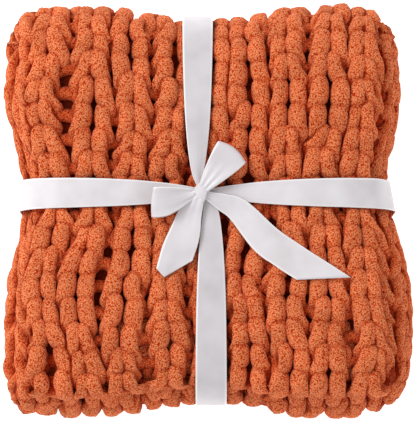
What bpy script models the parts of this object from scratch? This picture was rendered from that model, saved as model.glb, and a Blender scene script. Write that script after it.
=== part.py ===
"""A chunky knit blanket folded to a square and tied crosswise with a satin ribbon, in metres, +Z up.

The blanket is one solid: a thick knitted ply, folded in thirds across (X) like a letter, and that strip of three
plies laid back and forth along Y in four layers. The stack is first worked out square, then shaped() rounds its
corners, crowns its top and draws it in under the ribbon. The ribbon bands follow the same shape just outside it.
"""

import math
from collections import namedtuple

import bmesh
import bpy
from mathutils import Vector

NAME = "chunky_knit_blanket"

# The folded stack
PLY = 0.0120  # thickness of one pressed knitted ply
PLY_GAP = 0.0016
LAYER_GAP = 0.0024
HALF_X = 0.2010
HALF_Y = 0.2025
PLY_PITCH = PLY + PLY_GAP
LAYER = 3 * PLY + 2 * PLY_GAP
LAYER_PITCH = LAYER + LAYER_GAP
STACK = 4 * LAYER + 3 * LAYER_GAP
EDGE_ROUND = 0.003  # how far the outer ply's free edge bulges past its corners
FREE_EDGE = 0.003  # how far the outer ply's free edge lies past the straight part of the ply below

# The finished form
CORNER = 0.020  # how far a corner is drawn in along each axis
CORNER_LEAN = 0.006  # how much more than that on the right, and less on the left
BACK_RIGHT = 0.012  # how far the side is drawn in at the back on the right
BACK_RIGHT_SPAN = (-0.020, 0.045)  # where along Y that begins and is full
PUFF = 0.045  # rise of the pillows between the ribbons, as a share of the height
EDGE_FALL = 0.13  # fall of the top towards the sides, as a share of the height
TIED_DOWN = 0.075  # dip of the top under a ribbon, as a share of the height
PINCH_X = 0.018  # how far the left and right sides are drawn in by the ribbon
PINCH_Y = 0.015
PINCH_REACH = 0.050
GROOVE_X = -0.004  # where the grooves under the ribbon cross
GROOVE_Y = 0.012
TROUGH = 0.0045  # depth of the grooves that the ribbon lies in underneath
TROUGH_FLAT = 0.018
TROUGH_EDGE = 0.034
TROUGH_HEIGHT = 0.045

# The ribbon
RIBBON_WIDTH = 0.030
RIBBON_THICK = 0.0010
ALONG_BEHIND = -0.0112  # where the band along Y lies behind the knot, and in front of it
ALONG_IN_FRONT = 0.0018
ALONG_STEP = 0.010  # over how much of its length it changes over
BAND_CORNER = 0.030
ACROSS_CLEAR = 0.0008
ALONG_CLEAR = 0.0024

# One row a way out from the knot: what share of its width the band loses at the knot, and how far that reaches.
Gather = namedtuple("Gather", "share reach")
GATHER_LEFT = Gather(0.75, 0.035)
GATHER_RIGHT = Gather(0.90, 0.055)
GATHER_FRONT = Gather(0.75, 0.045)
GATHER_BEHIND = Gather(0.90, 0.050)

# The knot and bow
KNOT_X = -0.0085
KNOT_Y = 0.012
KNOT_LIFT = 0.0036
KNOT_SIZE = (0.020, 0.016, 0.011)

# One row a layer, from the bottom: half its width and its shift to the side.
Layer = namedtuple("Layer", "half_width shift")
LAYERS = (
    Layer(0.1880, 0.0012),
    Layer(0.2010, 0.0000),
    Layer(0.1985, -0.0010),
    Layer(0.1870, 0.0010),
)

# Where the four runs of the strip end, in the order in which it is laid: at a free end in front, at the centres of a
# turn at the back, one in front and one at the back, and at a free end in front.
RUN_ENDS = (-0.1820, 0.1617, -0.1617, 0.1590, -0.1830)

# Shares of a half width, or of a half length, at which a straight run of cloth or ribbon has points.
RUN_SHARES = (0.42, 0.72)
BAND_SHARES = (0.42, 0.72, 0.88)
TURN_STEPS = 6
SIDE_TURN_STEPS = 6
SMALL_TURN_STEPS = 4
BAND_CORNER_STEPS = 5

# One row a station of a tail: place of its middle from the knot, half its width, height over the top.
Tail = namedtuple("Tail", "x y half_width lift")
LEFT_TAIL = (
    Tail(-0.0034, -0.0084, 0.0055, 0.0080),
    Tail(-0.0098, -0.0220, 0.0110, 0.0066),
    Tail(-0.0148, -0.0390, 0.0146, 0.0052),
    Tail(-0.0202, -0.0540, 0.0155, 0.0040),
    Tail(-0.0250, -0.0710, 0.0155, 0.0034),
)
LEFT_TAIL_SLANT = -0.019
RIGHT_TAIL = (
    Tail(0.0092, -0.0045, 0.0045, 0.0080),
    Tail(0.0220, -0.0100, 0.0085, 0.0066),
    Tail(0.0376, -0.0184, 0.0120, 0.0056),
    Tail(0.0620, -0.0450, 0.0150, 0.0036),
    Tail(0.0850, -0.0620, 0.0150, 0.0028),
    Tail(0.1170, -0.0830, 0.0150, 0.0026),
)
RIGHT_TAIL_SLANT = 0.042

# One row a station of a bow loop: distance out from the knot's side, height over the top, half its width.
Loop = namedtuple("Loop", "out lift half_width")
LOOP = (
    Loop(0.0000, 0.0076, 0.0050),
    Loop(0.0130, 0.0066, 0.0100),
    Loop(0.0270, 0.0054, 0.0140),
    Loop(0.0375, 0.0060, 0.0160),
    Loop(0.0420, 0.0100, 0.0165),
    Loop(0.0390, 0.0148, 0.0165),
    Loop(0.0270, 0.0160, 0.0145),
    Loop(0.0130, 0.0140, 0.0105),
    Loop(0.0000, 0.0112, 0.0050),
)

# One row a loop: the way it points, and its reach and width over what the stations say.
BowLoop = namedtuple("BowLoop", "angle reach width")
RIGHT_LOOP = BowLoop(math.radians(51.5), 1.05, 1.0)
LEFT_LOOP = BowLoop(math.radians(193.0), 0.92, 0.85)


def clear_scene():
    for obj in list(bpy.data.objects):
        bpy.data.objects.remove(obj, do_unlink=True)


def material(name, colour, roughness, sheen=0.0):
    made = bpy.data.materials.new(name)
    made.use_nodes = True
    shader = made.node_tree.nodes["Principled BSDF"]
    shader.inputs["Base Color"].default_value = (*colour, 1.0)
    shader.inputs["Roughness"].default_value = roughness
    shader.inputs["Metallic"].default_value = 0.0
    shader.inputs["Sheen Weight"].default_value = sheen
    made.diffuse_color = (*colour, 1.0)
    return made


def add_object(name, mesh, collection, finish):
    obj = bpy.data.objects.new(name, mesh)
    mesh.materials.append(finish)
    collection.objects.link(obj)
    return obj


# ---- the form of the whole stack ----------------------------------------------------------------------------------


def pinch(distance):
    """1 on the ribbon, falling smoothly to 0 beside it."""
    past = max(abs(distance) - TROUGH_FLAT, 0.0)
    return math.exp(-((past / PINCH_REACH) ** 2))


def trough(distance):
    slope = (TROUGH_EDGE - abs(distance)) / (TROUGH_EDGE - TROUGH_FLAT)
    return min(max(slope, 0.0), 1.0)


def shaped(x, y, z):
    """Where a point of the square stack lies in the finished form."""
    out_x = x / HALF_X
    out_y = y / HALF_Y
    at_across = pinch(y - GROOVE_Y)
    at_along = pinch(x - GROOVE_X)
    corner = (CORNER + math.copysign(CORNER_LEAN, x)) * (out_x * out_y) ** 6
    low, high = BACK_RIGHT_SPAN
    back = min(max((y - low) / (high - low), 0.0), 1.0)
    drawn_in = BACK_RIGHT * back * max(out_x, 0.0) ** 3
    new_x = x - PINCH_X * at_across * out_x**3 - math.copysign(corner, x) - drawn_in
    new_y = y - PINCH_Y * at_along * out_y**3 - math.copysign(corner, y)
    fall = EDGE_FALL * (out_x**6 + out_y**6)
    pillow = PUFF * (1 - out_x**4) * (1 - out_y**4)
    tied = TIED_DOWN * (at_across + at_along - 0.6 * at_across * at_along)
    groove = TROUGH * max(trough(y - GROOVE_Y), trough(x - GROOVE_X))
    fade = max(1 - z / TROUGH_HEIGHT, 0.0)
    return Vector((new_x, new_y, z * (1 + pillow - fall - tied) + groove * min(fade, 1.1)))


def top_at(x, y):
    """Height of the finished top over a place in plan."""
    return shaped(x, y, STACK).z


# ---- the blanket --------------------------------------------------------------------------------------------------


def beside_ribbon(middle):
    """The places next to a ribbon band that a run needs to hold its groove."""
    return [middle - TROUGH_EDGE, middle - TROUGH_FLAT, middle + TROUGH_FLAT, middle + TROUGH_EDGE]


def run_places(low, high, middle):
    """Places from low to high along a straight run."""
    below = [low] + [low * share for share in reversed(RUN_SHARES)]
    above = [high * share for share in RUN_SHARES] + [high]
    return below + beside_ribbon(middle) + above


def strip_path():
    """Stations (y, z, normal, place among the layers) along the middle of the strip, back and forth."""
    stations = []
    radius = LAYER_PITCH / 2
    for index in range(len(LAYERS)):
        going = 1 if index % 2 == 0 else -1
        height = LAYER / 2 + index * LAYER_PITCH
        ends = sorted(RUN_ENDS[index : index + 2])
        for y in run_places(*ends, GROOVE_Y)[::going]:
            stations.append((y, height, Vector((0, going)), index))
        if index == len(LAYERS) - 1:
            break
        for step in range(1, TURN_STEPS):
            share = step / TURN_STEPS
            angle = math.pi * (share - 0.5)
            outward = Vector((going * math.cos(angle), math.sin(angle)))
            y = RUN_ENDS[index + 1] + radius * outward.x
            z = height + radius + radius * outward.y
            stations.append((y, z, -going * outward, index + share))
    return stations


def letter_fold():
    """Points (side, along, across, normal) on the middle of the ply: side times the core's half width, plus along."""
    middle = beside_ribbon(GROOVE_X)
    straight = [(-1, 0.0)] + [(-share, 0.0) for share in reversed(RUN_SHARES)]
    straight += [(0, x) for x in middle]
    straight += [(share, 0.0) for share in RUN_SHARES] + [(1, 0.0)]
    small = PLY_PITCH / 2
    points = [(side, along, 0.0, (0, 1)) for side, along in straight]
    for step in range(SMALL_TURN_STEPS + 1):
        angle = math.pi * (step / SMALL_TURN_STEPS - 0.5)
        way = (math.cos(angle), math.sin(angle))
        points.append((1, small + small * way[0], small + small * way[1], (-way[0], -way[1])))
    points += [(side, along, PLY_PITCH, (0, -1)) for side, along in straight[-2:0:-1]]
    for step in range(SIDE_TURN_STEPS + 1):
        angle = math.pi * (0.5 + step / SIDE_TURN_STEPS)
        way = (math.cos(angle), math.sin(angle))
        points.append((-1, PLY_PITCH * way[0], PLY_PITCH * way[1], (-way[0], -way[1])))
    points += [(side, along, -PLY_PITCH, (0, 1)) for side, along in straight[1:]]
    points.append((1, FREE_EDGE, -PLY_PITCH, (0, 1)))
    return points


def profile_outline():
    """(side, along, across) round the folded ply: one face, the bulge of its free edge, and the other face."""
    points = letter_fold()
    faces = []
    for sign in (1, -1):
        half = sign * PLY / 2
        faces.append([(s, a + half * n[0], d + half * n[1]) for s, a, d, n in points])
    side, along, across, _ = points[-1]
    bulge = (side, along + EDGE_ROUND, across)
    return faces[0] + [bulge] + faces[1][::-1], len(points)


def layer_at(place):
    """Core half width and shift at a place between two layers."""
    low = LAYERS[int(place)]
    high = LAYERS[min(int(place) + 1, len(LAYERS) - 1)]
    share = place - int(place)
    half_width = low.half_width + share * (high.half_width - low.half_width)
    return half_width - LAYER / 2, low.shift + share * (high.shift - low.shift)


def make_blanket(collection, finish):
    outline, count = profile_outline()
    around = len(outline)
    work = bmesh.new()
    rings = []
    for y, z, normal, place in strip_path():
        core, shift = layer_at(place)
        ring = []
        for side, along, across in outline:
            x = side * core + along + shift
            spot = shaped(x, y + across * normal.x, z + across * normal.y)
            ring.append(work.verts.new(spot))
        rings.append(ring)
    for near, far in zip(rings, rings[1:]):
        for i in range(around):
            j = (i + 1) % around
            work.faces.new((near[i], near[j], far[j], far[i]))
    for ring in (rings[0], rings[-1]):
        for i in range(count - 1):
            work.faces.new((ring[i], ring[i + 1], ring[around - 2 - i], ring[around - 1 - i]))
        work.faces.new((ring[count - 1], ring[count], ring[count + 1]))
    bmesh.ops.recalc_face_normals(work, faces=work.faces)
    mesh = bpy.data.meshes.new("blanket")
    work.to_mesh(mesh)
    work.free()
    return add_object("blanket", mesh, collection, finish)


# ---- the ribbon ---------------------------------------------------------------------------------------------------


def make_strip(name, edges, closed, collection, finish):
    """A thin solid between two edges, given as pairs of points; its thickness goes outward from them."""
    work = bmesh.new()
    pairs = [[work.verts.new(point) for point in pair] for pair in edges]
    following = pairs[1:] + (pairs[:1] if closed else [])
    for here, there in zip(pairs, following):
        work.faces.new((here[0], there[0], there[1], here[1]))
    mesh = bpy.data.meshes.new(name)
    work.to_mesh(mesh)
    work.free()
    obj = add_object(name, mesh, collection, finish)
    solid = obj.modifiers.new("thickness", "SOLIDIFY")
    solid.thickness = RIBBON_THICK
    solid.offset = 1.0
    solid.use_even_offset = True
    return obj


def corner_points(centre, start, steps):
    """Points on a quarter turn of a band, clockwise from an angle."""
    found = []
    for step in steps:
        angle = math.radians(start - 90 * step / BAND_CORNER_STEPS)
        across = centre[0] + BAND_CORNER * math.cos(angle)
        found.append((across, centre[1] + BAND_CORNER * math.sin(angle)))
    return found


def band_outline(half_length, clear, middle):
    """Points (place, height) of a closed band round the square stack, clockwise from the left of its top."""
    top = STACK + clear
    low = -clear - RIBBON_THICK
    core = half_length + clear - BAND_CORNER
    places = [-core] + [-core * share for share in reversed(BAND_SHARES)]
    places += beside_ribbon(middle)[:2] + [middle] + beside_ribbon(middle)[2:]
    places += [core * share for share in BAND_SHARES] + [core]
    after_run = range(1, BAND_CORNER_STEPS + 1)
    before_run = range(BAND_CORNER_STEPS)
    upper = top - BAND_CORNER
    lower = low + BAND_CORNER
    points = [(place, top) for place in places]
    points += corner_points((core, upper), 90, after_run)
    points += corner_points((core, lower), 0, before_run)
    points += [(place, low) for place in reversed(places)]
    points += corner_points((-core, lower), 270, after_run)
    points += corner_points((-core, upper), 180, before_run)
    return points


def band_half_width(distance, height, before, after):
    """Half the band's width: full all round, gathered towards the knot on top."""
    if height < STACK / 2:
        return RIBBON_WIDTH / 2
    gather = before if distance < 0 else after
    return RIBBON_WIDTH / 2 * (1 - gather.share * math.exp(-abs(distance) / gather.reach))


def along_middle(y):
    """Where the middle of the band along Y lies, to one side behind the knot and to the other in front."""
    share = (1 + math.tanh((y - KNOT_Y) / ALONG_STEP)) / 2
    return ALONG_IN_FRONT + share * (ALONG_BEHIND - ALONG_IN_FRONT)


def make_ribbon_across(collection, finish):
    edges = []
    for place, height in band_outline(HALF_X, ACROSS_CLEAR, GROOVE_X):
        half = band_half_width(place - KNOT_X, height, GATHER_LEFT, GATHER_RIGHT)
        edges.append([shaped(place, KNOT_Y + sign * half, height) for sign in (-1, 1)])
    return make_strip("ribbon_across", edges, True, collection, finish)


def make_ribbon_along(collection, finish):
    edges = []
    for place, height in band_outline(HALF_Y, ALONG_CLEAR, GROOVE_Y):
        half = band_half_width(place - KNOT_Y, height, GATHER_FRONT, GATHER_BEHIND)
        edges.append([shaped(along_middle(place) + sign * half, place, height) for sign in (1, -1)])
    return make_strip("ribbon_along", edges, True, collection, finish)


def make_knot(collection, finish):
    work = bmesh.new()
    bmesh.ops.create_uvsphere(work, u_segments=12, v_segments=8, radius=0.5)
    bmesh.ops.scale(work, vec=KNOT_SIZE, verts=work.verts)
    floor = -KNOT_SIZE[2] / 2
    lift = top_at(KNOT_X, KNOT_Y) + KNOT_LIFT - floor
    bmesh.ops.translate(work, vec=(KNOT_X, KNOT_Y, lift), verts=work.verts)
    mesh = bpy.data.meshes.new("knot")
    work.to_mesh(mesh)
    work.free()
    mesh.shade_smooth()
    return add_object("knot", mesh, collection, finish)


def make_tail(name, rows, slant, collection, finish):
    """A free end laid on the top, cut at a slant."""
    edges = []
    for i, row in enumerate(rows):
        before = rows[max(i - 1, 0)]
        after = rows[min(i + 1, len(rows) - 1)]
        way = Vector((after.x - before.x, after.y - before.y)).normalized()
        side = Vector((-way.y, way.x))
        skew = slant / 2 if i == len(rows) - 1 else 0.0
        pair = []
        for sign in (-1, 1):
            x = KNOT_X + row.x + sign * (row.half_width * side.x + skew * way.x)
            y = KNOT_Y + row.y + sign * (row.half_width * side.y + skew * way.y)
            pair.append(Vector((x, y, top_at(x, y) + row.lift)))
        edges.append(pair)
    return make_strip(name, edges, False, collection, finish)


def make_bow_loop(name, loop, collection, finish):
    """A loop of ribbon that leaves the knot, turns back and returns over itself."""
    way = Vector((math.cos(loop.angle), math.sin(loop.angle)))
    side = Vector((-way.y, way.x))
    start = 1 / math.hypot(way.x / (KNOT_SIZE[0] / 2), way.y / (KNOT_SIZE[1] / 2))
    edges = []
    for row in LOOP:
        pair = []
        for sign in (1, -1):
            out = start + loop.reach * row.out
            half = loop.width * row.half_width
            x = KNOT_X + out * way.x + sign * half * side.x
            y = KNOT_Y + out * way.y + sign * half * side.y
            pair.append(Vector((x, y, top_at(x, y) + row.lift)))
        edges.append(pair)
    return make_strip(name, edges, False, collection, finish)


def main():
    clear_scene()
    collection = bpy.data.collections.new(NAME)
    bpy.context.scene.collection.children.link(collection)
    knit = material("terracotta_chenille", (0.62, 0.130, 0.038), 0.95, sheen=0.3)
    satin = material("white_satin", (0.74, 0.72, 0.76), 0.35)
    make_blanket(collection, knit)
    make_ribbon_across(collection, satin)
    make_ribbon_along(collection, satin)
    make_knot(collection, satin)
    make_bow_loop("bow_loop_right", RIGHT_LOOP, collection, satin)
    make_bow_loop("bow_loop_left", LEFT_LOOP, collection, satin)
    make_tail("tail_left", LEFT_TAIL, LEFT_TAIL_SLANT, collection, satin)
    make_tail("tail_right", RIGHT_TAIL, RIGHT_TAIL_SLANT, collection, satin)


main()
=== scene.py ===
"""The looks of a chunky knit blanket, folded to a square and tied crosswise with a satin ribbon.

The blanket is knitted here stitch by stitch: each course is one fat chenille yarn that loops across the
cloth. The yarn is worked out on the flat cloth, counted in wales across and courses along, and the cloth is
then folded as the CAD solid is. A thin inner sheet on the same folds closes the cloth behind the yarn, and
its near black-brown is painted shade in the gaps between the stitches. Sizes are in metres, +Z up.
"""

import math
from collections import namedtuple

import bpy
import numpy as np
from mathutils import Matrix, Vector


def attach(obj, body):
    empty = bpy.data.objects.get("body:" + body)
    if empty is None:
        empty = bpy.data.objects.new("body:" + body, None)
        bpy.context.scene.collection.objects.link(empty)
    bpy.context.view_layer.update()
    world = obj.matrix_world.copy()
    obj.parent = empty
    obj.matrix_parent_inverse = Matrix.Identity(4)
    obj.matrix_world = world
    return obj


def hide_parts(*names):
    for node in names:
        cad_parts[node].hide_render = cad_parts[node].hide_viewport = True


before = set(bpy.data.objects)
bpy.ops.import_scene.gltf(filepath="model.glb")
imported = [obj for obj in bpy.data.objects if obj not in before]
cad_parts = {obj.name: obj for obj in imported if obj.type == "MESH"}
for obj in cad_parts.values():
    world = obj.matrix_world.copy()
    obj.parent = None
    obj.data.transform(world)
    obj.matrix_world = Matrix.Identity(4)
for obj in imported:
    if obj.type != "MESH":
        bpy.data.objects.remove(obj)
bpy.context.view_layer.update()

# The folded stack, as in the CAD source
PLY = 0.0120  # thickness of one pressed knitted ply
PLY_GAP = 0.0016
LAYER_GAP = 0.0024
HALF_X = 0.2010
HALF_Y = 0.2025
PLY_PITCH = PLY + PLY_GAP
LAYER = 3 * PLY + 2 * PLY_GAP
LAYER_PITCH = LAYER + LAYER_GAP
STACK = 4 * LAYER + 3 * LAYER_GAP
FREE_EDGE = 0.003  # how far the outer ply's free edge lies past the straight part of the ply below

# The finished form, as in the CAD source
CORNER = 0.020  # how far a corner is drawn in along each axis
CORNER_LEAN = 0.006  # how much more than that on the right, and less on the left
BACK_RIGHT = 0.012  # how far the side is drawn in at the back on the right
BACK_RIGHT_SPAN = (-0.020, 0.045)  # where along Y that begins and is full
PUFF = 0.045  # rise of the pillows between the ribbons, as a share of the height
EDGE_FALL = 0.13  # fall of the top towards the sides, as a share of the height
TIED_DOWN = 0.075  # dip of the top under a ribbon, as a share of the height
TIED_TWICE = 0.6  # how much less than two such dips there is where the ribbons cross
PINCH_X = 0.018  # how far the left and right sides are drawn in by the ribbon
PINCH_Y = 0.015
PINCH_REACH = 0.050
GROOVE_X = -0.004  # where the grooves under the ribbon cross
GROOVE_Y = 0.012
TROUGH = 0.0045  # depth of the grooves that the ribbon lies in underneath
TROUGH_FLAT = 0.018
TROUGH_EDGE = 0.034
TROUGH_HEIGHT = 0.045  # where the grooves end, and the most of their depth that a low point takes
TROUGH_DEEPEST = 1.1

# The layers, from the bottom: half their width and their shift to the side. Then the ends of the strip's
# runs, as in the CAD source but for the last, at which the cloth rolls over here.
HALF_WIDTHS = np.array([0.1880, 0.2010, 0.1985, 0.1870])
SHIFTS = np.array([0.0012, 0.0, -0.0010, 0.0010])
RUN_ENDS = (-0.1820, 0.1617, -0.1617, 0.1590, -0.1900)

# The ribbon, on the CAD source's lines
RIBBON_WIDTH = 0.030
ALONG_BEHIND = -0.0112  # where the band along Y lies behind the knot, and in front of it
ALONG_IN_FRONT = 0.0018
ALONG_STEP = 0.010  # over how much of its length it changes over
BAND_CORNER = 0.030

# One row a way out from the knot: what share of its width the band loses there, and how far that reaches.
Gather = namedtuple("Gather", "share reach")
GATHER_LEFT = Gather(0.75, 0.048)
GATHER_RIGHT = Gather(0.90, 0.055)
GATHER_FRONT = Gather(0.75, 0.045)
GATHER_BEHIND = Gather(0.90, 0.050)

# The knot, as in the CAD source: its middle, its height over the top, and its size
KNOT_X = -0.0085
KNOT_Y = 0.012
KNOT_LIFT = 0.0036
KNOT_SIZE = (0.020, 0.016, 0.011)

# One row a station of a tail: place of its middle from the knot, half its width, height over the top.
Tail = namedtuple("Tail", "x y half_width lift")
LEFT_TAIL = (
    Tail(-0.0052, -0.0086, 0.0088, 0.0108),
    Tail(-0.0102, -0.0220, 0.0117, 0.0072),
    Tail(-0.0148, -0.0390, 0.0146, 0.0052),
    Tail(-0.0202, -0.0540, 0.0158, 0.0048),
    Tail(-0.0248, -0.0695, 0.0155, 0.0034),
)
RIGHT_TAIL = (
    Tail(0.0092, -0.0045, 0.0048, 0.0072),
    Tail(0.0220, -0.0100, 0.0085, 0.0056),
    Tail(0.0376, -0.0184, 0.0118, 0.0050),
    Tail(0.0620, -0.0450, 0.0150, 0.0042),
    Tail(0.0850, -0.0620, 0.0150, 0.0036),
    Tail(0.1170, -0.0830, 0.0150, 0.0034),
)

# How far a tail's end runs past its last station, at places across it from -1 to 1.
Cut = namedtuple("Cut", "place past")
LEFT_CUT = (Cut(-1.0, 0.0080), Cut(-0.375, 0.0140), Cut(1.0, -0.0090))
RIGHT_CUT = (Cut(-1.0, -0.0210), Cut(1.0, 0.0210))

# One row a station of a bow loop: distance out from the knot's side, height over the top, half its width.
Loop = namedtuple("Loop", "out lift half_width")
LOOP = (
    Loop(0.0000, 0.0076, 0.0050),
    Loop(0.0130, 0.0066, 0.0100),
    Loop(0.0270, 0.0054, 0.0140),
    Loop(0.0375, 0.0060, 0.0160),
    Loop(0.0420, 0.0100, 0.0165),
    Loop(0.0390, 0.0148, 0.0165),
    Loop(0.0270, 0.0160, 0.0145),
    Loop(0.0130, 0.0140, 0.0105),
    Loop(0.0000, 0.0112, 0.0050),
)

# One row a bow loop: its direction, its sizes beside LOOP's, how far it leans over, how far its turn bulges
# out, how much fuller its one side is, how its turn slants, where its pleats begin and how many there are.
BowLoop = namedtuple("BowLoop", "angle size width lean bulge belly slant pleat_phase pleat_count")
RIGHT_LOOP = BowLoop(math.radians(51.5), 1.05, 1.0, 0.0, 0.0042, 0.0, 0.0, 0.9, 3.0)
LEFT_LOOP = BowLoop(math.radians(193.0), 0.90, 0.80, 0.25, 0.0012, 0.35, 0.0040, 5.0, 1.6)

# Inside the knot: how far the loops and tails run on, how wide a tail is there beside its first station,
# and how much higher.
INTO_KNOT = 0.005
TAIL_IN_KNOT = 0.85
TAIL_RISE = 0.001

# How the ribbon is made here
CLOTH = 0.0005  # its thickness
RIBBON_ROWS = 17  # points across it
STATION = 0.004  # between points along a band
TAIL_STATIONS = 52  # points along a tail, and along a loop
LOOP_STATIONS = 64
PLEAT = 0.0011  # height of its pleats where it is gathered most
BAND_PLEAT = 0.8  # how much of that in a band, and in a loop
LOOP_PLEAT = 1.6
WAVE = 0.0004  # height of a band's waves over the yarn
WAVE_LENGTH = 0.041
BAND_PHASE = 0.6  # where a band's pleats begin, and how many there are
BAND_PLEATS = 1.0
TAIL_WAVE = 0.0009  # height of a tail's waves at its end
TAIL_WAVES = 1.7  # how many of them it has
CUT_FROM = 0.55  # the share of a tail's length from which it leans to its cut end
OVER_YARN = 0.0011  # height of a band's middle over the square stack
OVER_CROSSING = 0.0036  # how much more the upper band rises at the knot, and the lower one
UNDER_CROSSING = 0.0024
CROSSING_REACH = 0.030  # how far to either side of the knot that goes
# Painted light and shade: the band along X and the bow are lighter, the band along Y darker.
ACROSS_PAINTED_LIGHT = 1.045  # how light the band along X and the bow are, and the band along Y
ALONG_PAINTED_SHADE = 0.925

# The knot as it shows: half its sizes, how much narrower it gets on its way, and its direction
KNOT_HALF_LENGTH = 0.0094
KNOT_HALF_HEIGHT = 0.0036
KNOT_HALF_WIDTH = 0.0070
KNOT_TAPER = 0.0020
KNOT_CREASE = 0.05  # depth of its creases, as a share of its height
KNOT_ANGLE = math.radians(62.0)
KNOT_SIDES = 64
KNOT_STATIONS = 33

# The knit: how many wales lie on each part of the letter fold, from the outer free edge inwards, and how
# many courses on each run and turn of the strip and on the roll at its end.
WALES = (9.0, 1.25, 9.0, 0.75, 9.0)
COURSES = (15, 5, 14, 5, 14, 5, 14, 1.5)
ROLL = 0.0216  # how far the top layer's last courses roll over in front
END_MARGIN = 0.010  # from the cloth's free end in front to its first course

# The path of a course's yarn. A leg is the stretch in front from a loop's foot to its head. Behind the legs,
# bars join one leg to the next.
SWING = 0.150  # how far a loop swings sideways, as a share of a wale
LATE_SWING = 0.008  # a second, quicker swing on top of that
REACH = 0.90  # how far a loop reaches along the cloth from its middle, in courses
FOOT_BACK = 0.45  # how much further up the cloth the bars run behind a loop's foot, and behind its head
HEAD_BACK = 0.27
BACK = 0.0090  # how far the yarn dives behind the legs
DIVE_FOOT = 2.6  # how late it dives at a loop's foot, and at its head; 1 is a plain wave
DIVE_HEAD = 1.5
TILT = 0.0022  # how much a loop's foot stands over the loop that it comes out of
CREST = -0.0022  # height of the legs' middle over the ply's middle
END_DIVE = 0.35  # how much of that dive the yarn makes at the cloth's two ends
END_PAST = 0.45  # how much further the heads of the last course reach, in courses

# The yarn's own form
FATTEST = math.radians(66.0)  # where a leg is fattest, as an angle of the loop from its foot
FAT_REACH = math.radians(35.0)  # how far it stays so, either way
FAT_EDGE = 6  # how squarely that ends; 2 is a bell
LEG_WIDE = 0.0096  # half the width of the yarn along a leg, and half its depth
LEG_DEEP = 0.0082
BACK_WIDE = 0.0045  # the same where it runs behind
BACK_DEEP = 0.0056
BAR_WIDER = 0.0024  # how much wider it is in the middle of a bar
BAR_SHARE = 0.3  # how far from there towards the front that goes
END_FAT = 0.85  # how fat it is at the cloth's two ends, from 0 as behind to 1 as along a leg
ARCH = 0.0060  # how far a leg's sides trail behind its middle, which rounds its foot
ASLANT = 1.0  # how much more of that one side trails, and the other less
YARN_SIDES = 12
YARN_RINGS = (24, 24, 24, 35)  # a wale, layer by layer from the floor
ROUNDED_END = (0.30, 0.72, 0.94)  # share of its thickness in the first rings from a cut end
UNDERSIDE = 0.004  # the height below which the yarn is flattened by what it rests on
PRESSED = 0.0040  # how far the ribbon presses the yarn in
PRESSED_NARROWER = 0.22  # how much narrower the yarn is there
PRESSED_PAST = 0.0065  # how far beside the ribbon that goes, and over what width it ends
PRESSED_EASE = 0.006
UNDER_RIBBON = 0.0006  # least distance from the ply's surface to pressed yarn
PRESSED_THINNEST = 0.003  # the least that pressing leaves of the yarn's half depth
STEP_OUT = 0.001  # the step in height that finds the way out of the cloth

# The yarn's colour darkens as painted shade between two heights in the cloth, and as painted crease
# shadow between two distances from other yarn, which are shares of that yarn's half width.
DEEPEST = -0.009
SHALLOW = 0.003
TOUCHING = 0.97
APART = 1.20
NEIGHBOUR = 0.6  # how many wales away another stretch of yarn may touch one
UNTOUCHED = 9.0  # the distance for yarn that has no other near it
FAINTER = 0.10  # added for yarn in the same column of stitches, where the crease is fainter
FAINTEST = 1.045  # the least distance for it

# The inner sheet
SHEET_THICK = 0.0010
SHEET_FLAT = 0.2  # share of the plies' real distance from the layer's middle at which it runs
SHEET_INSIDE = 0.35  # how far inside the cloth's outer edge it starts, in wales
SHEET_FIRST = 0.3  # how far inside the cloth's first and last courses it ends, in courses
SHEET_LAST = 0.5
SHEET_POINTS = 17  # across a ply, and across a turn
SHEET_TURN_POINTS = 7

# The camera, the lights and the floor
CAMERA_TARGET = (0.0, 0.0, 0.085)
CAMERA_TILT = math.radians(4.5)  # from straight above, towards the front
CAMERA_DISTANCE = 3.0
CAMERA_SENSOR = 36.0
CAMERA_LENS = 262.0
CAMERA_SHIFT = -0.003
Lamp = namedtuple("Lamp", "name place size power")
LAMPS = (
    Lamp("key", (-1.5, 0.8, 1.8), 1.0, 28.5),
    Lamp("fill", (1.4, -1.0, 1.8), 1.6, 1.0),
)
STUDIO_LIGHT = 0.66
FLOOR_HALF = 4.0
FLOOR_GLOW = 0.72

# Where the knit is stretched open between two columns of stitches: the middle of the opening on the cloth,
# how far it pushes the stitches aside in wales, how many courses it runs, how far it moves them to the left
# in wales, and how many wales either way it is felt. A push below 0 draws them together, and one of 0 leaves
# only the move.
Opening = namedtuple("Opening", "wale course push courses shift reach", defaults=[0.0, 0.8])
OPENINGS = (
    Opening(8.0, 61.0, 0.180, 2.6, 0.28, 1.1),
    Opening(7.5, 60.5, 0.050, 2.5),
    Opening(7.0, 62.5, 0.060, 2.5),
    Opening(6.0, 60.8, 0.070, 2.5),
    Opening(7.0, 67.0, 0.070, 2.2),
    Opening(6.5, 67.6, 0.060, 1.8),
    Opening(6.0, 66.6, 0.045, 2.6),
    Opening(8.5, 71.2, 0.130, 1.6),
    Opening(7.5, 69.8, 0.060, 1.6),
    Opening(6.0, 71.0, 0.110, 1.9),
    Opening(5.0, 69.0, 0.060, 2.6),
    Opening(3.5, 62.3, 0.100, 1.8),
    Opening(2.0, 61.8, 0.030, 1.5),
    Opening(1.5, 59.6, 0.070, 1.2),
    Opening(1.0, 62.6, 0.050, 1.2),
    Opening(1.0, 70.8, 0.090, 1.6),
    Opening(1.5, 67.5, 0.050, 2.0),
    Opening(3.5, 66.8, -0.050, 2.2),
    Opening(6.0, 69.0, 0.0, 5.0, 0.16, 4.2),
    Opening(7.6, 68.5, 0.0, 4.5, 0.20, 2.4),
)
OPENING_EDGE = 0.12  # how near the middle the push turns from one side to the other, in wales

# Where the knit is loose: the middle of that place and its reach either way.
Slack = namedtuple("Slack", "wale course wales courses")
SLACK = Slack(6.4, 66.5, 2.4, 5.0)
THINNER = 0.06  # how much thinner, and how much longer, the necks of the yarn are there
LONGER = 0.15


# ---- meshes --------------------------------------------------------------------------------------------


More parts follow.
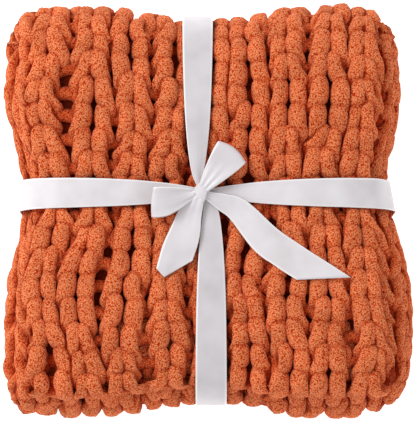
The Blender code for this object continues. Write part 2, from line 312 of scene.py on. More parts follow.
def add_object(name, points, faces, finish):
    mesh = bpy.data.meshes.new(name)
    mesh.from_pydata(np.asarray(points, float).tolist(), [], faces)
    mesh.materials.append(finish)
    mesh.shade_smooth()
    obj = bpy.data.objects.new(name, mesh)
    bpy.context.scene.collection.objects.link(obj)
    return obj


def grid_faces(rows, columns, closed_rows=False, closed_columns=False):
    """Quads over a grid of points held row by row."""
    faces = []
    for i in range(rows if closed_rows else rows - 1):
        for j in range(columns if closed_columns else columns - 1):
            down = (i + 1) % rows
            right = (j + 1) % columns
            faces.append((i * columns + j, i * columns + right, down * columns + right, down * columns + j))
    return faces


def unit(vectors):
    return vectors / np.linalg.norm(vectors, axis=-1, keepdims=True)


# ---- the folded form -----------------------------------------------------------------------------------


def pinch(distance):
    """1 on the ribbon, falling smoothly to 0 beside it."""
    past = np.maximum(np.abs(distance) - TROUGH_FLAT, 0)
    return np.exp(-((past / PINCH_REACH) ** 2))


def trough(distance):
    return np.clip((TROUGH_EDGE - np.abs(distance)) / (TROUGH_EDGE - TROUGH_FLAT), 0, 1)


def shaped(x, y, z):
    """Where points of the square stack lie in the finished form."""
    out_x = x / HALF_X
    out_y = y / HALF_Y
    at_across = pinch(y - GROOVE_Y)
    at_along = pinch(x - GROOVE_X)
    corner = (CORNER + np.copysign(CORNER_LEAN, x)) * (out_x * out_y) ** 6
    low, high = BACK_RIGHT_SPAN
    drawn_in = BACK_RIGHT * np.clip((y - low) / (high - low), 0, 1) * np.maximum(out_x, 0) ** 3
    new_x = x - PINCH_X * at_across * out_x**3 - np.copysign(corner, x) - drawn_in
    new_y = y - PINCH_Y * at_along * out_y**3 - np.copysign(corner, y)
    fall = EDGE_FALL * (out_x**6 + out_y**6)
    pillow = PUFF * (1 - out_x**4) * (1 - out_y**4)
    tied = TIED_DOWN * (at_across + at_along - TIED_TWICE * at_across * at_along)
    groove = TROUGH * np.maximum(trough(y - GROOVE_Y), trough(x - GROOVE_X))
    fade = np.clip(1 - z / TROUGH_HEIGHT, 0, TROUGH_DEEPEST)
    return np.stack([new_x, new_y, z * (1 + pillow - fall - tied) + groove * fade], axis=-1)


def part_and_share(place, lengths):
    """Which part of a row of lengths each place lies on, and how far along it."""
    ends = np.concatenate([[0.0], np.cumsum(lengths)])
    part = np.clip(np.searchsorted(ends, place, side="right") - 1, 0, len(lengths) - 1)
    return part, (place - ends[part]) / np.asarray(lengths)[part]


def across_cloth(wale, core):
    """Place and outward direction (x, across) on the middle of the letter fold."""
    part, share = part_and_share(wale, WALES)
    small = PLY_PITCH / 2
    left = math.pi * share
    right = math.pi * (0.5 - share)
    zero = np.zeros_like(share)
    one = np.ones_like(share)
    x = np.choose(
        part,
        [
            core + FREE_EDGE - share * (2 * core + FREE_EDGE),
            -core - PLY_PITCH * np.sin(left),
            -core + share * (2 * core + small),
            core + small + small * np.cos(right),
            core + small - share * (2 * core + small),
        ],
    )
    across = np.choose(
        part,
        [-PLY_PITCH * one, -PLY_PITCH * np.cos(left), PLY_PITCH * one, small + small * np.sin(right), zero],
    )
    out_x = np.choose(part, [zero, -np.sin(left), zero, np.cos(right), zero])
    out_across = np.choose(part, [-one, -np.cos(left), one, np.sin(right), -one])
    return x, across, out_x, out_across


def along_cloth(course):
    """Place (y, z), normal and place among the layers on the middle of the strip."""
    part, share = part_and_share(course, COURSES)
    layer = part // 2
    rolling = part == len(COURSES) - 1
    turning = (part % 2 == 1) & ~rolling
    going = np.where(layer % 2 == 0, 1.0, -1.0)
    starts = np.array([RUN_ENDS[0] + END_MARGIN, *RUN_ENDS[1:4]])[layer]
    stops = np.array([*RUN_ENDS[1:4], RUN_ENDS[4] + ROLL])[layer]
    radius = LAYER_PITCH / 2
    angle = math.pi * (share - 0.5)
    height = LAYER / 2 + layer * LAYER_PITCH
    y = np.where(turning, stops + radius * going * np.cos(angle), starts + share * (stops - starts))
    y = np.where(rolling, stops, y)
    z = np.where(turning, height + radius + radius * np.sin(angle), height)
    bend = math.pi / 2 * share
    normal_y = np.where(turning, -np.cos(angle), np.where(rolling, np.sin(bend), 0.0))
    normal_z = np.where(turning, -going * np.sin(angle), np.where(rolling, -np.cos(bend), going))
    return y, z, normal_y, normal_z, layer + np.where(turning, share, 0.0)


def skin(wale, course, height, flatten=1.0):
    """Points over the folded cloth's middle; flatten draws the letter fold together."""
    y, z, normal_y, normal_z, place = along_cloth(course)
    low = place.astype(int)
    high = np.minimum(low + 1, len(SHIFTS) - 1)
    share = place - low
    core = HALF_WIDTHS[low] + share * (HALF_WIDTHS[high] - HALF_WIDTHS[low]) - LAYER / 2
    shift = SHIFTS[low] + share * (SHIFTS[high] - SHIFTS[low])
    x, across, out_x, out_across = across_cloth(wale, core)
    off = (across + height * out_across) * flatten
    return shaped(x + shift + height * out_x, y + off * normal_y, z + off * normal_z)


# ---- the yarn ------------------------------------------------------------------------------------------


class Drift:
    """A smooth random field over the cloth, from about -size to size."""

    def __init__(self, seed, per_wale, per_course, size, waves=7):
        random = np.random.default_rng(seed)
        self.across = random.uniform(-per_wale, per_wale, waves)
        self.along = random.uniform(-per_course, per_course, waves)
        self.phase = random.uniform(0, 2 * math.pi, waves)
        self.size = size

    def __call__(self, wale, course):
        turns = np.multiply.outer(wale, self.across) + np.multiply.outer(course, self.along)
        waves = np.sin(2 * math.pi * turns + self.phase)
        return self.size * (waves.sum(axis=-1) / math.sqrt(len(self.phase)))


SIDEWAYS = Drift(11, 0.30, 0.22, 0.09)  # in wales, as SPREADING is
SPREADING = Drift(15, 0.95, 0.16, 0.045)
LENGTHWAYS = Drift(12, 0.35, 0.30, 0.10)  # in courses
HEIGHT = Drift(13, 0.45, 0.45, 0.0010)
THICKNESS = Drift(14, 1.60, 0.80, 0.05)  # as a share


def slack(wale, course):
    """1 where the knit is loose, in front on the left, falling to 0 round it."""
    away = ((wale - SLACK.wale) / SLACK.wales) ** 4 + ((course - SLACK.course) / SLACK.courses) ** 4
    return np.exp(-away)


def legs_at_random(seed, low, high):
    """A value for each leg of each course."""
    return np.random.default_rng(seed).uniform(low, high, (int(sum(COURSES)), int(2 * sum(WALES)) + 2))


# How thick each leg is, how far it lies to one side (in wales), how high it stands, how far it leans (in
# wales), and how far it is moved along the cloth (in courses)
LEG_SIZE = legs_at_random(21, 0.90, 1.08)
LEG_PLACE = legs_at_random(22, -0.060, 0.060)
LEG_LIFT = legs_at_random(23, -0.0008, 0.0008)
LEG_LEAN = legs_at_random(24, -0.130, 0.130)
LEG_SHIFT = legs_at_random(25, -0.12, 0.12)


def opened(wale, course):
    """How far the openings push the stitches sideways, in wales."""
    push = np.zeros_like(wale)
    for row in OPENINGS:
        off = wale - row.wale
        near = np.exp(-((off / row.reach) ** 2) - ((course - row.course) / row.courses) ** 2)
        push += (row.push * np.tanh(off / OPENING_EDGE) + row.shift) * near
    return push


def yarn_path(course, turn):
    """One course's yarn at turns of its loops: wale, course, height, how far in front, fatness and size."""
    leg = np.clip((turn / math.pi).astype(int), 0, LEG_SIZE.shape[1] - 1)
    foot = np.cos(turn)
    behind = (foot**2) ** np.where(foot > 0, DIVE_FOOT, DIVE_HEAD)
    first_feet = (course == 0) & (foot > 0)
    last_heads = (course == len(LEG_SIZE) - 1) & (foot < 0)
    at_end = first_feet | last_heads
    behind = behind * np.where(at_end, END_DIVE, 1)
    front = 1 - behind
    lean = LEG_PLACE[course, leg] + LEG_LEAN[course, leg] * foot
    wale = turn / (2 * math.pi) + SWING * np.sin(2 * turn) + LATE_SWING * np.sin(4 * turn) + lean * front
    along = course + 0.5 - REACH * foot + LEG_SHIFT[course, leg] * front
    along = along - behind * np.where(foot > 0, FOOT_BACK, HEAD_BACK)
    along = along + np.where(last_heads, END_PAST * foot**2, 0)
    height = CREST - BACK * behind + TILT * foot + LEG_LIFT[course, leg] * front
    fat = np.exp(-(((np.arccos(foot) - FATTEST) / FAT_REACH) ** FAT_EDGE))
    fat = np.where(at_end, np.maximum(fat, END_FAT), fat)
    return wale, along, height, front, fat, 1 + (LEG_SIZE[course, leg] - 1) * front


def press(points):
    """How much the ribbon presses on points of the finished form, from 0 to 1."""
    reach = RIBBON_WIDTH / 2 + PRESSED_PAST
    near = np.minimum(np.abs(points[:, 0] - along_middle(points[:, 1])), np.abs(points[:, 1] - KNOT_Y))
    return np.clip((reach - near) / PRESSED_EASE, 0, 1)


# Points along a yarn: its middle line, the way out of the cloth, half its width and depth, the middle line's
# height in the ply, and how far the yarn's sides trail.
YarnLine = namedtuple("YarnLine", "middle outward wide deep height arch")


def yarn_line(course, turn):
    """One course's yarn on the folded cloth, at turns of its loops."""
    flat_wale, along, height, front, fat, size = yarn_path(course, turn)
    wale = flat_wale + SIDEWAYS(flat_wale, along) + SPREADING(flat_wale, along)
    wale = wale + opened(flat_wale, along)
    along = along + LENGTHWAYS(flat_wale, along)
    height = height + HEIGHT(flat_wale, along)
    pressed = press(skin(wale, along, height))
    height = height - PRESSED * pressed
    middle = skin(wale, along, height)
    outward = unit(skin(wale, along, height + STEP_OUT) - middle)
    lumps = 1 + THICKNESS(flat_wale * 2, along)
    loose = slack(flat_wale, along)
    fat = fat ** (1 + LONGER * loose)
    back_wide = BACK_WIDE + BAR_WIDER * np.exp(-((front / BAR_SHARE) ** 2))
    back_wide = back_wide * (1 - THINNER * loose)
    wide = (back_wide + (LEG_WIDE - back_wide) * fat) * size * lumps
    deep = (BACK_DEEP + (LEG_DEEP - BACK_DEEP) * fat) * size * lumps
    room = np.maximum(PLY / 2 - UNDER_RIBBON - height, PRESSED_THINNEST)
    deep = np.where(pressed > 0.5, np.minimum(deep, room), deep)
    wide = wide * (1 - PRESSED_NARROWER * pressed)
    return YarnLine(middle, outward, wide, deep, height, ARCH * front * np.sign(np.sin(turn)))


# The distances found here darken the yarn's colour as painted crease shadow.
def touching(points, course, turn, line, rings):
    """How far each surface point is from the middle of the yarn beside it, over that yarn's half width.

    That is the yarn of the course before or after, or of its own course a little further on or back.
    """
    nearest = np.full(points.shape[:2], UNTOUCHED)
    reach = int(NEIGHBOUR * rings)
    for other in (course - 1, course, course + 1):
        if not 0 <= other < len(LEG_SIZE):
            continue
        beside = line if other == course else yarn_line(other, turn)
        for shift in range(-reach, reach + 1):
            if other == course and abs(shift) < reach / 2:
                continue
            low = max(0, -shift)
            high = min(len(turn), len(turn) - shift)
            to = beside.middle[low + shift : high + shift, None] - points[low:high]
            away = np.sqrt((to**2).sum(axis=2)) / beside.wide[low + shift : high + shift, None]
            if other != course and abs(shift) <= rings / 4:
                away = np.maximum(away + FAINTER, FAINTEST)
            nearest[low:high] = np.minimum(nearest[low:high], away)
    return nearest


def yarn_tube(course, first, last, rings):
    """Rings of points round a course's yarn between two wales, their heights and distances to other yarn."""
    turn = 2 * math.pi * np.linspace(first, last, int((last - first) * rings) + 1)
    line = yarn_line(course, turn)
    way = unit(np.gradient(line.middle, axis=0))
    side = unit(np.cross(line.outward, way))
    up = np.cross(way, side)
    closing = np.ones(len(turn))
    closing[:3] = ROUNDED_END
    closing[-1:-4:-1] = ROUNDED_END
    around = 2 * math.pi * np.arange(YARN_SIDES) / YARN_SIDES
    spread = np.multiply.outer(line.wide * closing, np.cos(around))[..., None] * side[:, None]
    lift = np.multiply.outer(line.deep * closing, np.sin(around))
    depth = line.height[:, None] + lift
    trailing = np.cos(around) ** 2 + ASLANT * np.cos(around)
    trail = np.multiply.outer(line.arch, trailing)[..., None] * way[:, None]
    points = line.middle[:, None] + spread + trail + lift[..., None] * up[:, None]
    near = touching(points, course, turn, line, rings)
    low = points[..., 2] < UNDERSIDE
    points[low, 2] = UNDERSIDE * np.exp(points[low, 2] / UNDERSIDE - 1)
    return points, depth, near


def join_tubes(name, tubes, finish):
    """One mesh of closed tubes, with each point's height and distance to other yarn as attributes."""
    points = []
    faces = []
    first = 0
    for rings, _, _ in tubes:
        count, sides = rings.shape[:2]
        points.append(rings.reshape(-1, 3))
        for face in grid_faces(count, sides, closed_columns=True):
            faces.append(tuple(first + i for i in face))
        faces.append(tuple(first + i for i in reversed(range(sides))))
        faces.append(tuple(first + (count - 1) * sides + i for i in range(sides)))
        first += count * sides
    obj = add_object(name, np.concatenate(points), faces, finish)
    for k, kind in enumerate(("depth", "near"), start=1):
        stored = obj.data.attributes.new(kind, "FLOAT", "POINT")
        values = np.concatenate([tube[k].ravel() for tube in tubes])
        stored.data.foreach_set("value", values.astype(np.float32))
    return obj


def wales_shown(course):
    """The stretches of wales that show on a course; the rest lies inside the stack."""
    ends = np.cumsum(COURSES)
    left_turn, lower_ply, right_turn, middle_ply = np.cumsum(WALES)[:4]
    outside = (0, int(lower_ply) + 1)
    left = (int(left_turn) - 1, int(lower_ply) + 1)
    right = (int(right_turn) - 1, int(middle_ply) + 1)
    if course + 1 > ends[6]:
        return [(0, left_turn + 0.5)]
    if course < 2 or course >= ends[6] - 2:
        return [(0, sum(WALES))]
    if ends[2] - 1 <= course < ends[3] + 1:
        return [(0, 1), (left[0], right[1])]
    near_back_turn = ends[0] - 1 <= course < ends[1] + 1 or ends[4] - 1 <= course < ends[5] + 1
    if course < ends[0] or course >= ends[5] or near_back_turn:
        return [outside, right]
    return [(0, 1), left, right]


def make_knit(finish):
    """The yarn of each layer, with the turn that follows it."""
    ends = np.cumsum(COURSES)
    starts = [0, *(int(ends[k]) + 1 for k in (1, 3, 5)), int(ends[7])]
    made = []
    for layer in range(4):
        tubes = []
        for course in range(starts[layer], starts[layer + 1]):
            for first, last in wales_shown(course):
                tubes.append(yarn_tube(course, first, last, YARN_RINGS[layer]))
        made.append(join_tubes(f"knit_layer_{layer + 1}", tubes, finish))
    return made


def make_inner_sheet(finish):
    """The back of the cloth, a thin sheet on the same folds behind the yarn, dark as painted shade."""
    bounds = np.concatenate([[0.0], np.cumsum(WALES)])
    wales = []
    for part, (start, stop) in enumerate(zip(bounds, bounds[1:])):
        count = SHEET_TURN_POINTS if part % 2 else SHEET_POINTS
        wales.append(np.linspace(start, stop, count)[:-1])
    wales = np.concatenate(wales + [[bounds[-1]]])
    wales[0] = SHEET_INSIDE
    courses = np.linspace(SHEET_FIRST, sum(COURSES) - SHEET_LAST, int(2 * sum(COURSES)) + 1)
    course, wale = np.meshgrid(courses, wales, indexing="ij")
    points = skin(wale.ravel(), course.ravel(), np.zeros(wale.size), flatten=SHEET_FLAT)
    faces = grid_faces(len(courses), len(wales))
    obj = add_object("blanket_inner_sheet", points, faces, finish)
    solid = obj.modifiers.new("thickness", "SOLIDIFY")
    solid.thickness = SHEET_THICK
    solid.offset = 0.0
    return obj


# ---- the ribbon ----------------------------------------------------------------------------------------


def along_middle(y):
    """Where the middle of the band along Y lies, to one side behind the knot and to the other in front."""
    share = (1 + np.tanh((y - KNOT_Y) / ALONG_STEP)) / 2
    return ALONG_IN_FRONT + share * (ALONG_BEHIND - ALONG_IN_FRONT)


def band_half_widths(distance, height, before, after):
    share = np.where(distance < 0, before.share, after.share)
    reach = np.where(distance < 0, before.reach, after.reach)
    narrow = share * np.exp(-np.abs(distance) / reach)
    return RIBBON_WIDTH / 2 * (1 - np.where(height < STACK / 2, 0, narrow))


def quarter(centre, start):
    """Points on a quarter turn of a band, clockwise from an angle, without its last."""
    angle = np.radians(start - np.arange(0, 90, 10))
    return [(centre[0] + BAND_CORNER * math.cos(a), centre[1] + BAND_CORNER * math.sin(a)) for a in angle]


def run(start, stop):
    """Points from one end of a straight stretch of a band to the other, without the last."""
    count = max(int(math.dist(start, stop) / STATION), 2)
    shares = np.arange(count) / count
    return [(start[0] + s * (stop[0] - start[0]), start[1] + s * (stop[1] - start[1])) for s in shares]


def band_outline(half_length):
    """Points (place, height) of a closed band round the square stack, clockwise from the left of its top."""
    core = half_length + OVER_YARN - BAND_CORNER
    top = STACK + OVER_YARN
    low = -OVER_YARN
    points = run((-core, top), (core, top)) + quarter((core, top - BAND_CORNER), 90)
    points += run((core + BAND_CORNER, top - BAND_CORNER), (core + BAND_CORNER, low + BAND_CORNER))
    points += quarter((core, low + BAND_CORNER), 0) + run((core, low), (-core, low))
    points += quarter((-core, low + BAND_CORNER), 270)
    points += run((-core - BAND_CORNER, low + BAND_CORNER), (-core - BAND_CORNER, top - BAND_CORNER))
    return np.array(points + quarter((-core, top - BAND_CORNER), 180))


def pleats(half_width, row, phase, count=3.0):
    """Height of the pleats over the ribbon's own surface; row runs from -1 to 1 across it."""
    gathered = np.clip(1 - half_width / (RIBBON_WIDTH / 2), 0, 1)
    wide = np.cos(count * math.pi * row + phase)
    narrow = np.cos(5 * math.pi * row + 2.3 * phase)
    return PLEAT * gathered * (0.8 * wide + 0.2 * narrow)


def ribbon_object(name, points, closed, finish):
    """A strip of ribbon from points held station by station."""
    count, rows = points.shape[:2]
    obj = add_object(name, points.reshape(-1, 3), grid_faces(count, rows, closed_rows=closed), finish)
    across = obj.data.attributes.new("across", "FLOAT", "POINT")
    across.data.foreach_set("value", np.tile(np.linspace(-1, 1, rows), count).astype(np.float32))
    solid = obj.modifiers.new("thickness", "SOLIDIFY")
    solid.thickness = CLOTH
    solid.offset = 0.0
    middle = points[:, rows // 2]
    if closed:
        middle = np.concatenate([middle, middle[:1]])
    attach(obj, "root")
    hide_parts(name.replace("satin_", ""))
    return obj


def make_band(name, half_length, place_of, crossing_lift, before, after, finish):
    """A band round the stack; place_of gives x and y for places along it and offsets across it."""
    outline = band_outline(half_length)
    place, height = outline[:, 0], outline[:, 1]
    row = np.linspace(-1, 1, RIBBON_ROWS)
    distance = place - (KNOT_X if name.endswith("across") else KNOT_Y)
    half = band_half_widths(distance, height, before, after)
    on_top = height > STACK / 2
    lift = crossing_lift * np.exp(-((distance / CROSSING_REACH) ** 2)) * np.where(on_top, 1, -1)
    relief = BAND_PLEAT * pleats(half[:, None], row, BAND_PHASE, BAND_PLEATS) * on_top[:, None]
    relief = relief + WAVE * np.sin(2 * math.pi * place / WAVE_LENGTH)[:, None] * np.cos(0.8 * row)
    z = (height + lift)[:, None] + relief
    x, y = place_of(np.repeat(place[:, None], len(row), axis=1), half[:, None] * row)
    points = shaped(x.ravel(), y.ravel(), z.ravel()).reshape(len(place), len(row), 3)
    return ribbon_object(name, points, True, finish)


def top_at(x, y):
    return shaped(x, y, np.full_like(x, STACK))[..., 2]


def smooth_rows(rows, count):
    """Rows of numbers read from a smooth curve through a few of them."""
    rows = np.array(rows, float)
    padded = np.concatenate([2 * rows[:1] - rows[1:2], rows, 2 * rows[-1:] - rows[-2:-1]])
    place = np.linspace(0, len(rows) - 1, count)
    low = np.minimum(place.astype(int), len(rows) - 2)
    t = (place - low)[:, None]
    a, b, c, d = (padded[low + k] for k in range(4))
    return 0.5 * (2 * b + (c - a) * t + (2 * a - 5 * b + 4 * c - d) * t**2 + (3 * b - a - 3 * c + d) * t**3)


def make_tail(name, rows, cut, phase, finish):
    """A free end laid on the top, from inside the knot to its cut."""
    first = rows[0]
    inside = 1 - INTO_KNOT / math.hypot(first.x, first.y)
    start = Tail(first.x * inside, first.y * inside, TAIL_IN_KNOT * first.half_width, first.lift + TAIL_RISE)
    rows = (start, *rows)
    smooth = smooth_rows(rows, TAIL_STATIONS)
    middle = smooth[:, :2]
    way = unit(np.gradient(middle, axis=0))
    side = np.stack([-way[:, 1], way[:, 0]], axis=-1)
    share = np.linspace(0, 1, len(middle))
    row = np.linspace(-1, 1, RIBBON_ROWS)
    past = np.interp(row, [c.place for c in cut], [c.past for c in cut])
    skew = np.clip((share - CUT_FROM) / (1 - CUT_FROM), 0, 1)[:, None] ** 1.5 * past
    half = smooth[:, 2]
    offset = (half[:, None] * row)[..., None] * side[:, None] + skew[..., None] * way[:, None]
    plan = middle[:, None] + offset + (KNOT_X, KNOT_Y)
    wave = np.sin(math.pi * (2 * TAIL_WAVES * share[:, None] + 0.5 * row) + phase)
    relief = pleats(half[:, None], row, phase) + TAIL_WAVE * wave * share[:, None]
    z = top_at(plan[..., 0], plan[..., 1]) + smooth[:, 3][:, None] + relief
    return ribbon_object(name, np.concatenate([plan, z[..., None]], axis=-1), False, finish)


def make_bow_loop(name, loop, finish):
    """A loop of ribbon that leaves the knot, turns back and returns over itself."""
    smooth = smooth_rows(LOOP, LOOP_STATIONS)
    way = np.array([math.cos(loop.angle), math.sin(loop.angle)])
    side = np.array([-way[1], way[0]])
    start = 1 / math.hypot(way[0] / (KNOT_SIZE[0] / 2), way[1] / (KNOT_SIZE[1] / 2))
    row = np.linspace(-1, 1, RIBBON_ROWS)
    reach = smooth[:, 0] / max(station.out for station in LOOP)
    out = start + loop.size * smooth[:, 0] - INTO_KNOT * (1 - reach) ** 3
    half = smooth[:, 2] * loop.width
    along = out[:, None] + (reach**2)[:, None] * (loop.slant * row - loop.bulge * row**2)
    full = 1 + loop.belly * np.sin(math.pi * reach)[:, None] * (row > 0)
    plan = along[..., None] * way + (half[:, None] * row * full)[..., None] * side + (KNOT_X, KNOT_Y)
    z = top_at(plan[..., 0], plan[..., 1]) + smooth[:, 1][:, None]
    z = z + LOOP_PLEAT * pleats(half[:, None], row, loop.pleat_phase, loop.pleat_count)
    z = z + loop.lean * half[:, None] * (0.5 - row) * reach[:, None]
    return ribbon_object(name, np.concatenate([plan, z[..., None]], axis=-1), False, finish)


def rounded(value, power):
    return np.sign(value) * np.abs(value) ** power


def make_knot(finish):
    """The flat turn of ribbon that holds the bow: it runs from the right loop down into the left tail."""
    turns = np.linspace(0, 2 * math.pi, KNOT_SIDES + 1)[:-1]
    along = np.sin(np.linspace(-math.pi / 2, math.pi / 2, KNOT_STATIONS))
    wide = KNOT_HALF_WIDTH - KNOT_TAPER * along
    closing = np.clip(1 - along**6, 0, 1) ** 0.4 * 0.97 + 0.03
    falling = np.sqrt(np.clip(1 - 0.97 * along**2, 0, 1))
    creases = np.cos(2.6 * math.pi * np.cos(turns) + 0.6)
    relief = 1 + KNOT_CREASE * creases * np.maximum(np.sin(turns), 0)
    way = np.array([math.cos(KNOT_ANGLE), math.sin(KNOT_ANGLE)])
    side = np.array([-way[1], way[0]])
    across = (wide * closing)[:, None] * rounded(np.cos(turns), 0.6)
    plan = (KNOT_HALF_LENGTH * along)[:, None, None] * way + across[..., None] * side + (KNOT_X, KNOT_Y)
    middle = top_at(np.array([KNOT_X]), np.array([KNOT_Y]))[0] + KNOT_LIFT + KNOT_SIZE[2] / 2
    z = middle + KNOT_HALF_HEIGHT * falling[:, None] * relief * rounded(np.sin(turns), 0.7)
    points = np.concatenate([plan, z[..., None]], axis=-1).reshape(-1, 3)
    faces = grid_faces(len(along), len(turns), closed_columns=True)
    faces.append(tuple(range(len(turns))))
    faces.append(tuple(len(points) - 1 - i for i in range(len(turns))))
    obj = add_object("satin_knot", points, faces, finish)
    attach(obj, "root")
    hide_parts("knot")
    return obj


def place_across(place, off):
    """Points on the band along X."""
    return place, KNOT_Y + off


def place_along(place, off):
    """Points on the band along Y."""
    return along_middle(place) + off, place


def make_ribbon(finish, shaded_satin):
    """Both bands, the tails, the loops and the knot; the band along Y is darker, as painted shade."""
    across = ("satin_ribbon_across", HALF_X, place_across, UNDER_CROSSING, GATHER_LEFT, GATHER_RIGHT)
    along = ("satin_ribbon_along", HALF_Y, place_along, OVER_CROSSING, GATHER_FRONT, GATHER_BEHIND)
    make_band(*across, finish)
    make_band(*along, shaded_satin)
    make_tail("satin_tail_left", LEFT_TAIL, LEFT_CUT, 0.3, finish)
    make_tail("satin_tail_right", RIGHT_TAIL, RIGHT_CUT, 1.9, finish)
    make_bow_loop("satin_bow_loop_right", RIGHT_LOOP, finish)
    make_bow_loop("satin_bow_loop_left", LEFT_LOOP, finish)
    make_knot(finish)


# ---- materials -----------------------------------------------------------------------------------------


# Colours along a ramp: rows of (place, colour).
# Partly the yarn's own tone, partly painted highlight on nub crowns and painted shade between them.
NUB_TONE_AND_PAINTED_LIGHT = (
    (0.20, (0.87, 0.315, 0.150)),
    (0.45, (0.82, 0.221, 0.080)),
    (0.62, (0.73, 0.127, 0.031)),
    (0.80, (0.42, 0.024, 0.003)),
)
# The fine speckle likewise: partly the yarn's own tone, partly painted highlight and painted shade.
SPECKLE_TONE_AND_PAINTED_LIGHT = ((0.34, (0.54, 0.24, 0.08)), (0.46, (1.0, 1.0, 1.0)), (0.70, (1.05, 1.20, 1.40)))
# Painted shade for yarn that lies deep in the cloth.
DEPTH_SHADE = ((0.0, (0.44, 0.13, 0.045)), (0.50, (0.80, 0.57, 0.45)), (1.0, (1.0, 1.0, 1.0)))
# Painted shadow in the creases where yarn touches other yarn.
CREASE_SHADE = ((0.0, (0.38, 0.12, 0.045)), (0.40, (0.78, 0.56, 0.45)), (1.0, (1.0, 1.0, 1.0)))
# Painted shade: the near black-brown that the gaps between the stitches show.
BACK_SHADE_COLOURS = ((0.3, (0.070, 0.006, 0.002)), (0.7, (0.15, 0.016, 0.005)))
SATIN_COLOURS = ((0.30, (0.65, 0.61, 0.63)), (0.50, (0.715, 0.675, 0.70)), (0.70, (0.755, 0.73, 0.76)))
SATIN_EDGE = (0.93, 0.91, 0.92, 1.0)
SATIN_EDGE_SPAN = (0.86, 0.95)  # where across the ribbon its edge begins and is full
PATCH_TONES = (0.92, 1.16)  # how dark and how light patches of the yarn get


def new_material(name):
    made = bpy.data.materials.new(name)
    made.use_nodes = True
    tree = made.node_tree
    return made, tree, tree.nodes["Principled BSDF"]


def node(tree, kind, **values):
    """A node with its named inputs or properties set."""
    made = tree.nodes.new(kind)
    for key, value in values.items():
        if hasattr(made, key):
            setattr(made, key, value)
        else:
            made.inputs[key.replace("_", " ")].default_value = value
    return made


def finish_shader(shader, **values):
    """Sets inputs of the shader that are the same all over."""
    for key, value in values.items():
        shader.inputs[key.replace("_", " ")].default_value = value


def lay(tree, *textures):
    """Lays textures in the object's own coordinates."""
    place = tree.nodes.new("ShaderNodeTexCoord").outputs["Object"]
    for texture in textures:
        tree.links.new(place, texture.inputs["Vector"])


def attribute(tree, name):
    """A value held at each point of the mesh."""
    made = tree.nodes.new("ShaderNodeAttribute")
    made.attribute_name = name
    return made.outputs["Fac"]


def ramp(tree, stops, source):
    """A colour picked by a value."""
    made = tree.nodes.new("ShaderNodeValToRGB")
    elements = made.color_ramp.elements
    while len(elements) < len(stops):
        elements.new(0.5)
    for element, (place, colour) in zip(elements, stops):
        element.position = place
        element.color = (*colour, 1.0)
    tree.links.new(source, made.inputs["Fac"])
    return made.outputs["Color"]


def mapped(tree, source, start, stop, low=0.0, high=1.0):
    """A value brought from the range start to stop to the range low to high."""
    made = node(tree, "ShaderNodeMapRange", From_Min=start, From_Max=stop, To_Min=low, To_Max=high)
    tree.links.new(source, made.inputs["Value"])
    return made.outputs["Result"]


def multiplied(tree, one, other):
    """One colour times another."""
    made = node(tree, "ShaderNodeMix", data_type="RGBA", blend_type="MULTIPLY")
    made.inputs["Factor"].default_value = 1.0
    tree.links.new(one, made.inputs[6])
    tree.links.new(other, made.inputs[7])
    return made.outputs[2]


def bumped(tree, height, strength, distance, normal=None, invert=False):
    made = node(tree, "ShaderNodeBump", Strength=strength, Distance=distance)
    made.invert = invert
    tree.links.new(height, made.inputs["Height"])
    if normal is not None:
        tree.links.new(normal, made.inputs["Normal"])
    return made.outputs["Normal"]


def chenille():
    """Fuzzy terracotta yarn: nubs lighter at their crowns and darker between them, partly the yarn's own
    speckled tone and partly painted highlight and shade, and painted shade deep in the stitches.
    """
    made, tree, shader = new_material("terracotta_chenille")
    nubs = node(tree, "ShaderNodeTexVoronoi", Scale=720.0, Randomness=1.0)
    fuzz = node(tree, "ShaderNodeTexNoise", Scale=900.0, Detail=2.0, Roughness=0.6)
    patches = node(tree, "ShaderNodeTexNoise", Scale=45.0, Detail=2.0)
    lay(tree, nubs, fuzz, patches)
    nub_tone_and_light = ramp(tree, NUB_TONE_AND_PAINTED_LIGHT, nubs.outputs["Distance"])
    speckle_tone_and_light = ramp(tree, SPECKLE_TONE_AND_PAINTED_LIGHT, fuzz.outputs["Fac"])
    # Painted shade: the deeper the yarn lies in the cloth, the darker it is.
    shadow = ramp(tree, DEPTH_SHADE, mapped(tree, attribute(tree, "depth"), DEEPEST, SHALLOW))
    # Painted crease shadow where the yarn touches other yarn.
    crease_shadow = ramp(tree, CREASE_SHADE, mapped(tree, attribute(tree, "near"), TOUCHING, APART))
    shaded = multiplied(tree, multiplied(tree, nub_tone_and_light, speckle_tone_and_light), multiplied(tree, shadow, crease_shadow))
    toned = node(tree, "ShaderNodeVectorMath", operation="SCALE")
    tree.links.new(shaded, toned.inputs[0])
    tree.links.new(mapped(tree, patches.outputs["Fac"], 0.3, 0.7, *PATCH_TONES), toned.inputs["Scale"])
    tree.links.new(toned.outputs["Vector"], shader.inputs["Base Color"])
    coarse = bumped(tree, nubs.outputs["Distance"], 0.65, 0.0012, invert=True)
    tree.links.new(bumped(tree, fuzz.outputs["Fac"], 0.5, 0.0006, coarse), shader.inputs["Normal"])
    finish_shader(shader, Roughness=0.95, Specular_IOR_Level=0.05)
    finish_shader(shader, Sheen_Weight=0.16, Sheen_Roughness=0.5, Sheen_Tint=(1.0, 0.50, 0.30, 1.0))
    return made


def shaded_knit_back():
    """Near black-brown painted shade for the back of the cloth, as it shows through the stitches."""
    made, tree, shader = new_material("terracotta_back_painted_shade")
    fuzz = node(tree, "ShaderNodeTexNoise", Scale=500.0, Detail=3.0)
    lay(tree, fuzz)
    tree.links.new(ramp(tree, BACK_SHADE_COLOURS, fuzz.outputs["Fac"]), shader.inputs["Base Color"])
    tree.links.new(bumped(tree, fuzz.outputs["Fac"], 0.5, 0.001), shader.inputs["Normal"])
    finish_shader(shader, Roughness=1.0, Specular_IOR_Level=0.0)
    return made


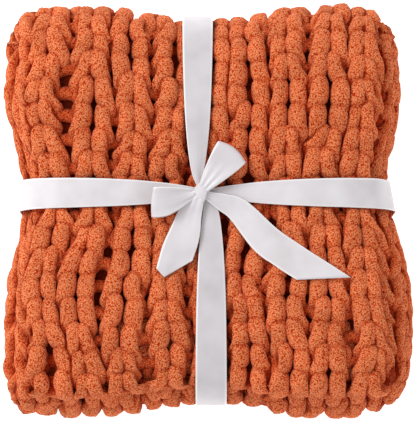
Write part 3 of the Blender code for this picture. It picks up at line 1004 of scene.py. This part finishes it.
def satin(name, painted_lightness):
    """Off-white satin: fine threads across it, a little tone here and there, and a whiter woven edge.
    Its colours are scaled by a factor of painted light and shade, set band by band.
    """
    made, tree, shader = new_material(name)
    weave = node(tree, "ShaderNodeTexNoise", Scale=1400.0, Detail=2.0)
    soft = node(tree, "ShaderNodeTexNoise", Scale=34.0, Detail=2.0)
    lay(tree, weave, soft)
    # The colours scaled as painted light and shade
    toned = [(place, tuple(painted_lightness * part for part in colour)) for place, colour in SATIN_COLOURS]
    off = node(tree, "ShaderNodeMath", operation="ABSOLUTE")
    tree.links.new(attribute(tree, "across"), off.inputs[0])
    whole = node(tree, "ShaderNodeMix", data_type="RGBA", blend_type="MIX")
    tree.links.new(mapped(tree, off.outputs["Value"], *SATIN_EDGE_SPAN), whole.inputs["Factor"])
    tree.links.new(ramp(tree, toned, soft.outputs["Fac"]), whole.inputs[6])
    whole.inputs[7].default_value = SATIN_EDGE
    tree.links.new(whole.outputs[2], shader.inputs["Base Color"])
    tree.links.new(bumped(tree, weave.outputs["Fac"], 0.3, 0.0002), shader.inputs["Normal"])
    finish_shader(shader, Roughness=0.42, Sheen_Weight=0.10)
    return made


# ---- camera, light and floor ---------------------------------------------------------------------------


def make_camera():
    camera = bpy.data.objects.new("camera", bpy.data.cameras.new("camera"))
    bpy.context.scene.collection.objects.link(camera)
    bpy.context.scene.camera = camera
    back = Vector((0.0, -math.sin(CAMERA_TILT), math.cos(CAMERA_TILT)))
    camera.location = Vector(CAMERA_TARGET) + CAMERA_DISTANCE * back
    camera.rotation_euler = (CAMERA_TILT, 0.0, 0.0)
    camera.data.sensor_width = CAMERA_SENSOR
    camera.data.lens = CAMERA_LENS
    camera.data.shift_x = CAMERA_SHIFT


def add_light(row):
    lamp = bpy.data.lights.new(row.name, "AREA")
    lamp.energy = row.power
    lamp.size = row.size
    obj = bpy.data.objects.new(row.name, lamp)
    bpy.context.scene.collection.objects.link(obj)
    obj.location = row.place
    obj.rotation_euler = (-Vector(row.place)).to_track_quat("-Z", "Y").to_euler()


def make_floor():
    made, _, shader = new_material("pale_floor")
    finish_shader(shader, Base_Color=(0.92, 0.92, 0.92, 1.0), Roughness=0.9)
    finish_shader(shader, Emission_Color=(1.0, 1.0, 1.0, 1.0), Emission_Strength=FLOOR_GLOW)
    half = FLOOR_HALF
    corners = [(-half, -half, 0.0), (half, -half, 0.0), (half, half, 0.0), (-half, half, 0.0)]
    floor = add_object("floor", corners, [(0, 1, 2, 3)], made)


def make_studio():
    world = bpy.data.worlds.new("studio")
    bpy.context.scene.world = world
    world.use_nodes = True
    background = world.node_tree.nodes["Background"]
    background.inputs["Color"].default_value = (1.0, 1.0, 1.0, 1.0)
    background.inputs["Strength"].default_value = STUDIO_LIGHT
    for row in LAMPS:
        add_light(row)
    bpy.context.scene.view_settings.view_transform = "Standard"


make_camera()
make_floor()
make_studio()
yarn = chenille()
knit = make_knit(yarn)
inner = make_inner_sheet(shaded_knit_back())
for piece in knit + [inner]:
    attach(piece, "root")
    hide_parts("blanket")
make_ribbon(satin("white_satin", ACROSS_PAINTED_LIGHT), satin("white_satin_along", ALONG_PAINTED_SHADE))
